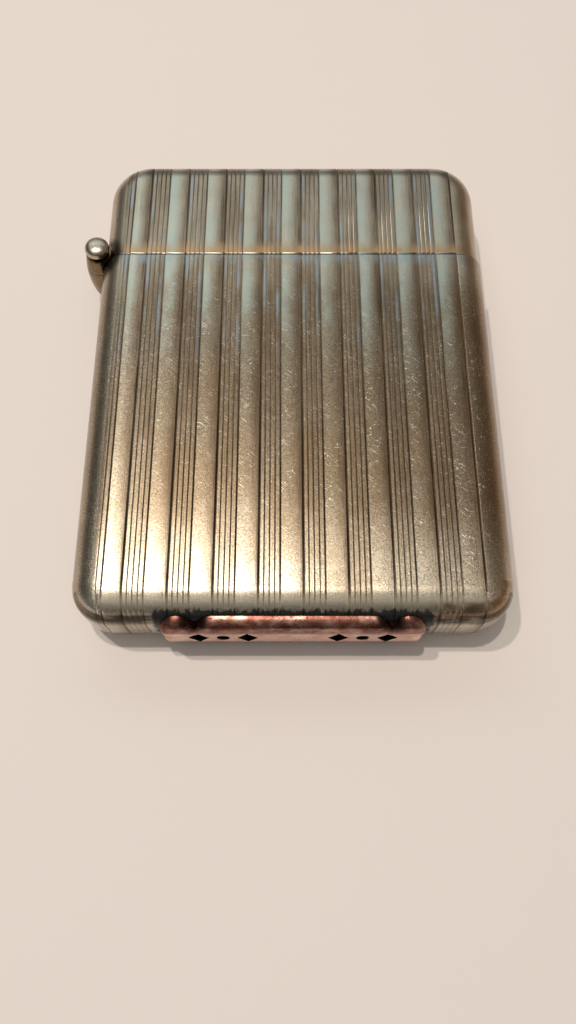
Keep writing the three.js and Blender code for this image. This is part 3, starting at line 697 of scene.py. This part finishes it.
# %% [markdown]
# ## Case and lid
# The lid is cut from a cushion that is 0.3 mm narrower on each side. One plane at the seam
# divides each form, the half that isn't wanted is cleared, and Solidify gives the open
# shell its wall. The lip of the lid is rounded by handling and catches the light as one
# bright line, so its outer edge gets a wider bevel than the mouth of the case.

# %% Cut at the seam, give the shell its wall and notch it for the hinge
NOTCH_RADIUS = 2.15
NOTCH_INSET = 1.1
hinge_cutter = bmesh.new()
bmesh.ops.create_cone(
    hinge_cutter,
    cap_ends=True,
    segments=64,
    radius1=NOTCH_RADIUS,
    radius2=NOTCH_RADIUS,
    depth=CASE_THICKNESS - 2 * NOTCH_INSET,
)
bmesh.ops.translate(hinge_cutter, vec=(*HINGE, MID_Z), verts=hinge_cutter.verts)
notch = finish_piece(hinge_cutter, "hinge_notch_cutter", plain_silver, None)


def apply_modifiers(target):
    """Makes the mesh what its modifiers show, and drops them."""
    graph = bpy.context.evaluated_depsgraph_get()
    shown = bpy.data.meshes.new_from_object(target.evaluated_get(graph), depsgraph=graph)
    target.modifiers.clear()
    old = target.data
    target.data = shown
    bpy.data.meshes.remove(old)


def cut_away(made, tool):
    """Takes the tool's form out of a piece."""
    cut = made.modifiers.new("cut", "BOOLEAN")
    cut.operation = "DIFFERENCE"
    cut.solver = "EXACT"
    cut.object = tool
    apply_modifiers(made)


def shell(name, bm, keep_above, gap, lip, body, node):
    """Cuts a cushion a gap above the seam, makes it hollow and notched, and rounds its lip."""
    seam = SEAM_Y + gap
    bmesh.ops.bisect_plane(
        bm,
        geom=bm.verts[:] + bm.edges[:] + bm.faces[:],
        dist=1e-5,
        plane_co=(0, seam, 0),
        plane_no=(0, 1, 0),
        clear_inner=keep_above,
        clear_outer=not keep_above,
    )
    bmesh.ops.recalc_face_normals(bm, faces=bm.faces)
    if sum(f.normal.z * (f.calc_center_median().z - MID_Z) for f in bm.faces) < 0:
        bmesh.ops.reverse_faces(bm, faces=bm.faces)
    made = finish_piece(bm, name, ruled_silver, body, [node])
    wall = made.modifiers.new("wall", "SOLIDIFY")
    wall.thickness = WALL * MM
    wall.offset = -1
    wall.use_even_offset = True
    apply_modifiers(made)
    cut_away(made, notch)
    bm = bmesh.new()
    bm.from_mesh(made.data)

    def looks_out(face):
        away = (face.calc_center_median() - Vector((0, 0, MID_Z * MM))) * Vector((1, 0, 1))
        return abs(face.normal.y) < 0.5 and away.dot(face.normal) > 0

    outer_lip = [
        e
        for e in bm.edges
        if all(abs(v.co.y - seam * MM) < 1e-6 for v in e.verts)
        and any(looks_out(f) for f in e.link_faces)
    ]
    round_off(bm, outer_lip, lip * MM, 3)
    bm.to_mesh(made.data)
    bm.free()
    made.modifiers.new("flat faces stay flat", "WEIGHTED_NORMAL").keep_sharp = True
    return made


# %% Make the case
case_form = cushion(0, 0)
rule(case_form)
case = shell("case_ruled", case_form, False, 0, 0.06, "case", "case_shell")

# %% Make the lid
lid_form = cushion(LID_SIDE_STEP, LID_FACE_STEP)
rule(lid_form)
lid = shell("lid_ruled", lid_form, True, 0.16, 0.22, "lid", "lid_shell")
bpy.data.objects.remove(notch)
print("case and lid:", len(case.data.polygons), len(lid.data.polygons), "faces")

# %% [markdown]
# ## The plaque
# The plaque is a copper plate 0.88 mm proud of the case. It was cut from sheet with a round
# ear at each corner, its face was domed at the rim with a file, and then it was bent round
# the foot and soldered. It is made here in the same order: a flat plate with bevelled
# corners is notched by one Boolean, which also drills the piercings, its rim is bevelled,
# and only then is it bent. The piercings are a plain pattern of lozenges and dots, with the
# dark case showing through them, and their walls are painted near-black as shade.

# %% The flat plate and the file that notches it
EAR_RADIUS = 1.75
PIERCINGS = [(4.6, 4), (7.1, 24), (9.6, 4)]  # X, and the number of corners
LOZENGE, DOT = (1.05, 1.75), (0.62, 0.95)

plate = bmesh.new()
bmesh.ops.create_grid(plate, x_segments=1, y_segments=1, size=0.5)
bmesh.ops.scale(plate, vec=(PLAQUE_WIDTH, PLAQUE_HEIGHT, 1), verts=plate.verts)
round_off(plate, plate.verts[:], EAR_RADIUS, 10, "VERTICES")
made = bmesh.ops.extrude_face_region(plate, geom=plate.faces[:])
raised = [item for item in made["geom"] if isinstance(item, bmesh.types.BMVert)]
bmesh.ops.translate(plate, vec=(0, 0, PLAQUE_PROUD), verts=raised)
bmesh.ops.recalc_face_normals(plate, faces=plate.faces)

files = bmesh.new()


def file_cut(x, y, half_x, half_y, corners=4):
    """A prism that cuts through the plate. With four corners it has a point to each side."""
    through = {"radius1": 1, "radius2": 1, "depth": 4 * PLAQUE_PROUD}
    prism = bmesh.ops.create_cone(files, cap_ends=True, segments=corners, **through)["verts"]
    bmesh.ops.scale(files, vec=(half_x, half_y, 1), verts=prism)
    bmesh.ops.translate(files, vec=(x, y, 0), verts=prism)


for side in (-1, 1):
    for end in (-1, 1):
        file_cut(end * NOTCH_X, side * PLAQUE_HEIGHT / 2, 0.95, 1)
    file_cut(side * PLAQUE_WIDTH / 2, 0, 0.75, 0.55)
    for x, corners in PIERCINGS:
        file_cut(side * x, 0, *(LOZENGE if corners == 4 else DOT), corners)
print("cuts in the plaque:", 2 * (3 + len(PIERCINGS)))

# %% Notch it, round its rim and bend it round the foot
cutter = finish_piece(files, "plaque_files", copper, None)
plaque = finish_piece(plate, "foot_plaque_pierced", copper, "case", ["foot_plaque"])
cut_away(plaque, cutter)
bpy.data.objects.remove(cutter)

plate = bmesh.new()
plate.from_mesh(plaque.data)
bmesh.ops.scale(plate, vec=(1 / MM,) * 3, verts=plate.verts)


def is_upright(edge):
    a, b = (vert.co for vert in edge.verts)
    return abs(a.z - b.z) > 0.1 and (a - b).xy.length < 0.01


def in_piercing(edge):
    return all(abs(v.co.y) < 2 and abs(v.co.x) < PLAQUE_WIDTH / 2 - 2 for v in edge.verts)


# The file leaves soft shoulders where a notch meets an edge
shoulders = [
    e
    for e in plate.edges
    if is_upright(e) and not in_piercing(e) and e.is_convex and e.calc_face_angle() > 0.3
]
round_off(plate, shoulders, 0.75, 6, clamp=True)
# The piercings' walls take the second, near-black copper: painted shade in the holes
for face in plate.faces:
    if abs(face.normal.z) < 0.5 and all(in_piercing(e) for e in face.edges):
        face.material_index = 1
# The outer rim is domed, the rims of the piercings have only lost their burr
for radius, wanted in ((0.72, False), (0.12, True)):
    rim = [
        e
        for e in plate.edges
        if in_piercing(e) == wanted
        and all(v.co.z > PLAQUE_PROUD - 0.01 for v in e.verts)
        and e.calc_face_angle() > 0.8
    ]
    round_off(plate, rim, radius, 8)
    print("rim edges rounded:", len(rim))

# The foot is flat in its middle and round above and below it, so the plate gets a cut every
# 0.1 mm where it will be bent, and every 0.5 mm in its flat middle
flat_half = MID_Z - EDGE_RADIUS
for step in range(-33, 34):
    height = step * 0.1
    if abs(height) > flat_half or step % 5 == 0:
        bmesh.ops.bisect_plane(
            plate,
            geom=plate.verts[:] + plate.edges[:] + plate.faces[:],
            dist=1e-4,
            plane_co=(0, height, 0),
            plane_no=(0, 1, 0),
        )

SOLDER = 0.02
for point in plate.verts:
    x, across, proud = point.co
    radius = EDGE_RADIUS + SOLDER + proud
    over = max(0, abs(across) - flat_half)
    point.co = (x, FOOT_Y + EDGE_RADIUS - math.sqrt(radius**2 - over**2), MID_Z + across)
bmesh.ops.triangulate(plate, faces=[f for f in plate.faces if len(f.verts) > 4])
bmesh.ops.scale(plate, vec=(MM,) * 3, verts=plate.verts)
for face in plate.faces:
    face.smooth = True
for edge in plate.edges:
    edge.smooth = not (edge.is_manifold and edge.calc_face_angle() > math.radians(40))
print("open edges in the plaque:", sum(not e.is_manifold for e in plate.edges))
plate.to_mesh(plaque.data)
plate.free()
plaque.data.materials.append(shade_dark_copper)
plaque.modifiers.new("face stays smooth", "WEIGHTED_NORMAL").keep_sharp = True

# %% [markdown]
# ## Turned and bent fittings
# The knuckles, the tubes and the screws are already the right shape as solids. A copy of
# each is merged into one closed mesh, its flat facets are joined, its sharp edges get a fine
# bevel, as a file leaves them, and it is shaded smooth, so that a round piece looks round.

# %% Dress a copy of a solid
def copy_of(node):
    """A solid's mesh in millimetres, with its corners merged."""
    bm = bmesh.new()
    bm.from_mesh(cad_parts[node].data)
    bmesh.ops.remove_doubles(bm, verts=bm.verts, dist=1e-6)
    bmesh.ops.scale(bm, vec=(1 / MM,) * 3, verts=bm.verts)
    return bm


def dressed(node, material, body, edge=0.05):
    bm = copy_of(node)
    bmesh.ops.dissolve_limit(bm, angle_limit=math.radians(0.5), verts=bm.verts, edges=bm.edges)
    crisp = [e for e in bm.edges if e.is_manifold and e.calc_face_angle() > math.radians(50)]
    round_off(bm, crisp, edge, 2, clamp=True)
    bmesh.ops.triangulate(bm, faces=[f for f in bm.faces if len(f.verts) > 4])
    made = finish_piece(bm, node + "_dressed", material, body, [node], 32)
    made.modifiers.new("flat faces stay flat", "WEIGHTED_NORMAL").keep_sharp = True


dressed("case_collar", plain_silver, "case")
dressed("case_knuckle", shaded_brown_silver, "case")
for node in ("lid_knuckle_front", "lid_knuckle_back"):
    dressed(node, shaded_brown_silver, "lid")
dressed("snuffer_cap", brass, "lid")
for node in ("wick_tube", "flint_tube", "flint_screw", "tank_top"):
    dressed(node, brass, "case")
for node in ("wheel_cheek_front", "wheel_cheek_back"):
    dressed(node, brass, "case")
dressed("filler_screw", brass, "filler")
dressed("filler_washer", leather, "washer", 0.12)
dressed("wheel_axle", steel, "case")

# %% [markdown]
# ## The hinge pin
# The pin is a rivet. Its head at the front was closed with a cup punch, which leaves a low
# dome with a tight round rim. It is turned from half of its section: a line of points, each
# a radius and a height, is spun once round the axis of the hinge.

# %% Spin the pin from its section
BACK_HEAD = [(0, 0.2), (0.7, 0.25), (1.05, 0.5), (1.2, 0.9), (1.2, 1.3), (0.6, 1.3)]
FRONT_HEAD = [(0.6, 8.3), (1.05, 8.42), (1.34, 8.75), (1.42, 9.1), (1.38, 9.34)]
FRONT_HEAD += [(1.27, 9.56), (1.05, 9.73), (0.75, 9.83), (0.4, 9.88), (0, 9.9)]
pin = bmesh.new()
section = BACK_HEAD + FRONT_HEAD
line = [pin.verts.new((HINGE[0] + radius, HINGE[1], height)) for radius, height in section]
for lower, upper in zip(line, line[1:]):
    pin.edges.new((lower, upper))
bmesh.ops.spin(
    pin,
    geom=pin.verts[:] + pin.edges[:],
    cent=(*HINGE, 0),
    axis=(0, 0, 1),
    angle=math.tau,
    steps=56,
    use_merge=True,
)
bmesh.ops.remove_doubles(pin, verts=pin.verts, dist=1e-4)
bmesh.ops.recalc_face_normals(pin, faces=pin.faces)
finish_piece(pin, "hinge_pin_riveted", plain_silver, "case", ["hinge_pin"], 50)

# %% [markdown]
# ## The wick
# A lighter wick is six or seven cotton strands twisted round each other. One strand is a
# small circle, turned about the wick's axis while it climbs, which is what spin does when
# it is given a step. The strands end a little apart where they have burnt.

# %% Twist seven strands
WICK_X = 1.5
WICK_FOOT, WICK_TOP = SEAM_Y - 12, SEAM_Y + 6.3
WICK_TURNS, STEPS = 3.4, 90
wick = bmesh.new()
for strand in range(7):
    reach, radius = (0.64, 0.36) if strand else (0, 0.32)
    ring = bmesh.ops.create_circle(wick, segments=10, radius=radius, cap_ends=True)
    bmesh.ops.rotate(wick, verts=ring["verts"], matrix=Matrix.Rotation(math.radians(90), 3, "X"))
    angle = strand * math.tau / 6
    offset = Vector((math.cos(angle) * reach, 0, math.sin(angle) * reach))
    start = Vector((WICK_X, WICK_FOOT, MID_Z))
    bmesh.ops.translate(wick, vec=start + offset, verts=ring["verts"])
    tall = WICK_TOP - WICK_FOOT - 0.25 * (strand % 3)
    bmesh.ops.spin(
        wick,
        geom=list({f for v in ring["verts"] for f in v.link_faces}),
        cent=start,
        axis=(0, 1, 0),
        dvec=(0, tall / STEPS, 0),
        angle=WICK_TURNS * math.tau,
        steps=STEPS,
    )
bmesh.ops.recalc_face_normals(wick, faces=wick.faces)
finish_piece(wick, "wick_twisted", cotton, "case", ["wick"], 70)

# %% [markdown]
# ## The wadding in the tank
# The tank is stuffed with cotton wool round the two tubes. A copy of its solid is remeshed
# into even faces half a millimetre wide, pushed in and out by noise, and smoothed, so that
# it is lumpy and soft.

# %% Stuff the tank
wadding = "tank_wadding"
wadding = finish_piece(copy_of(wadding), wadding + "_teased", cotton, "case", [wadding])
even_mesh = wadding.modifiers.new("even faces", "REMESH")
even_mesh.mode = "VOXEL"
even_mesh.voxel_size = 0.5 * MM
apply_modifiers(wadding)
lumps = bpy.data.textures.new("cotton_lumps", "CLOUDS")
lumps.noise_scale = 2.5 * MM
push = wadding.modifiers.new("lumps", "DISPLACE")
push.texture = lumps
push.texture_coords = "LOCAL"
push.mid_level = 0.9
push.strength = 0.5 * MM
soften = wadding.modifiers.new("soften", "SMOOTH")
soften.iterations = 3
apply_modifiers(wadding)
for face in wadding.data.polygons:
    face.use_smooth = True
print("wadding:", len(wadding.data.polygons), "faces")

# %% [markdown]
# ## The solids that stay
# The springs bend with their joints, so they keep their solids, and so do the toothed wheel
# and its fluted rims, whose flat facets are cut by tools on the real thing too. The tank and
# what is inside it stay as well. Each gets the metal that it is made of.

# %% Give the solids their metals
finishes = {
    spring_steel: ["lid_spring", "flint_spring"],
    steel: ["spark_wheel"],
    brass: ["tank_shell", "tank_floor", "flint_plunger", "wheel_rim_front", "wheel_rim_back"],
    flint_alloy: ["flint"],
}
for finish, names in finishes.items():
    for name in names:
        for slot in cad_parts[name].material_slots:
            slot.material = finish
print("solids with their own finish:", sum(len(names) for names in finishes.values()))

# %% [markdown]
# ## The table
# The table is painted, matt and a little pink. One square is enough, 3 m wide, so that its
# edge is far away in every view.

# %% The table
TABLE_HALF = 1.5  # metres
floor_form = bmesh.new()
bmesh.ops.create_grid(floor_form, x_segments=1, y_segments=1, size=TABLE_HALF)
paint = {"Base Color": linear("#E8DFDB"), "Roughness": 0.8, "Specular IOR Level": 0.2}
table_paint = make_material("table_matt_paint", lambda tree, place: paint)
floor_mesh = bpy.data.meshes.new("table")
floor_form.to_mesh(floor_mesh)
floor_form.free()
floor_mesh.materials.append(table_paint)
table = bpy.data.objects.new("table", floor_mesh)
bpy.context.scene.collection.objects.link(table)
print("table", 2 * TABLE_HALF, "m wide")

# %% [markdown]
# ## The lamps
# Two small lamps hang almost overhead, 0.6 m away and both a bit to the left, so that the
# shadow has two crisp steps. One larger lamp would be plainer, but would lose those steps.

# %% The lamps
def lamp(name, tilt_x, tilt_y, distance, size, power, colour):
    """A round lamp that looks at the lighter, tilted in degrees from overhead to +X and +Y."""
    data = bpy.data.lights.new(name, "AREA")
    data.shape = "DISK"
    data.size = size
    data.energy = power
    data.color = linear(colour)[:3]
    aside, ahead = (math.tan(math.radians(tilt)) for tilt in (tilt_x, tilt_y))
    direction = Vector((aside, ahead, 1)).normalized()
    light = bpy.data.objects.new(name, data)
    light.location = direction * distance
    light.rotation_mode = "QUATERNION"
    light.rotation_quaternion = direction.to_track_quat("Z", "Y")
    bpy.context.scene.collection.objects.link(light)


lamp("left_lamp", -17.2, 8.5, 0.6, 0.018, 1.08, "#FFF6EA")
lamp("near_lamp", -5, 5, 0.6, 0.016, 1.06, "#FFF6EA")
print("lamps:", len(bpy.data.lights))

# %% [markdown]
# ## The room
# Polished metal shows what is round it, so the room matters as much as the lamps. A colour
# ramp gives its light by the angle from overhead, towards the foot or the lid. A broad warm
# band over the lighter is the lit ceiling, and shows at the foot. A narrower, cooler band
# beyond the lid is a window, and turns the lid and the upper case bluish. Between them it is
# nearly dark, as the middle of the case shows. The left is brighter than the right, and far
# out to the sides both walls are dim, the right one a little brighter and brown.

# %% The room
# An angle, from -90 degrees at the foot's side to 90 at the lid's side, a level and a tint
ROOM = [
    (-90, 0.06, (1.08, 1, 0.9)),
    (-75, 0.09, (1.08, 1, 0.9)),
    (-55, 0.17, (1.06, 1, 0.9)),
    (-40, 0.33, (1.06, 1, 0.9)),
    (-25, 0.6, (1.04, 1, 0.92)),
    (-12, 0.85, (1.03, 1, 0.94)),
    (0, 0.85, (1.03, 1, 0.94)),
    (8, 0.57, (1.03, 1, 0.94)),
    (15, 0.28, (1.05, 1, 0.92)),
    (21, 0.1, (1.1, 1, 0.88)),
    (28, 0.05, (1.1, 1, 0.88)),
    (33, 0.15, (1.0, 1, 0.98)),
    (38, 0.95, (0.92, 1, 1.02)),
    (45, 1.5, (0.92, 1, 1.02)),
    (52, 0.6, (0.95, 1, 1)),
    (62, 0.25, (1, 1, 1)),
    (90, 0.1, (1, 1, 1)),
]
BRIGHTEST = 1.5
LEFT_WALL = (0.08, 0.09, 0.09, 1)
RIGHT_WALL = (0.24, 0.19, 0.14, 1)

room = bpy.data.worlds.new("room")
room.use_nodes = True
tree = room.node_tree
tree.nodes.clear()
direction = add(tree, "ShaderNodeTexCoord").outputs["Generated"]
right, ahead, up = add(tree, "ShaderNodeSeparateXYZ", {0: direction}).outputs
angle = add(tree, "ShaderNodeMath", {0: ahead, 1: up}, operation="ARCTAN2").outputs[0]
half_turns = {0: angle, 1: 1 / math.pi, 2: 0.5}
half_turns = add(tree, "ShaderNodeMath", half_turns, operation="MULTIPLY_ADD").outputs[0]
ramp = add(tree, "ShaderNodeValToRGB", {"Fac": half_turns})
points = ramp.color_ramp.elements
while len(points) < len(ROOM):
    points.new(0.5)
for point, (degrees, level, tint) in zip(points, ROOM):
    point.position = (degrees + 90) / 180
    point.color = tuple(level * part / BRIGHTEST for part in tint) + (1,)
print("stops in the room:", len(points))

# %% Left, right and the far sides
LEFTMOST, RIGHTMOST, SLANT = 1.8, 0.2, 0.92  # levels beside 1 overhead, and how fast it falls
leftness = {"Value": right, "From Min": (1 - LEFTMOST) / SLANT, "From Max": (1 - RIGHTMOST) / SLANT}
leftness.update({"To Min": LEFTMOST * BRIGHTEST, "To Max": RIGHTMOST * BRIGHTEST})
leftness = add(tree, "ShaderNodeMapRange", leftness).outputs[0]
lit = {0: ramp.outputs["Color"], "Scale": leftness}
lit = add(tree, "ShaderNodeVectorMath", lit, operation="SCALE").outputs[0]
walls = {"Factor": fade_in(tree, (right, -0.4, 0.4)), "A": LEFT_WALL, "B": RIGHT_WALL}
walls = add(tree, "ShaderNodeMix", walls, data_type="RGBA").outputs[2]
aside = add(tree, "ShaderNodeMath", {0: right}, operation="ABSOLUTE").outputs[0]
level = {"Factor": fade_in(tree, (aside, 0.42, 0.66)), "A": lit, "B": walls}
level = add(tree, "ShaderNodeMix", level, data_type="RGBA")
background = add(tree, "ShaderNodeBackground", {"Color": level.outputs[2], "Strength": 1})
add(tree, "ShaderNodeOutputWorld", {"Surface": background.outputs[0]})
bpy.context.scene.world = room
bpy.context.scene.view_settings.view_transform = "Standard"
print("nodes in the room:", len(tree.nodes))
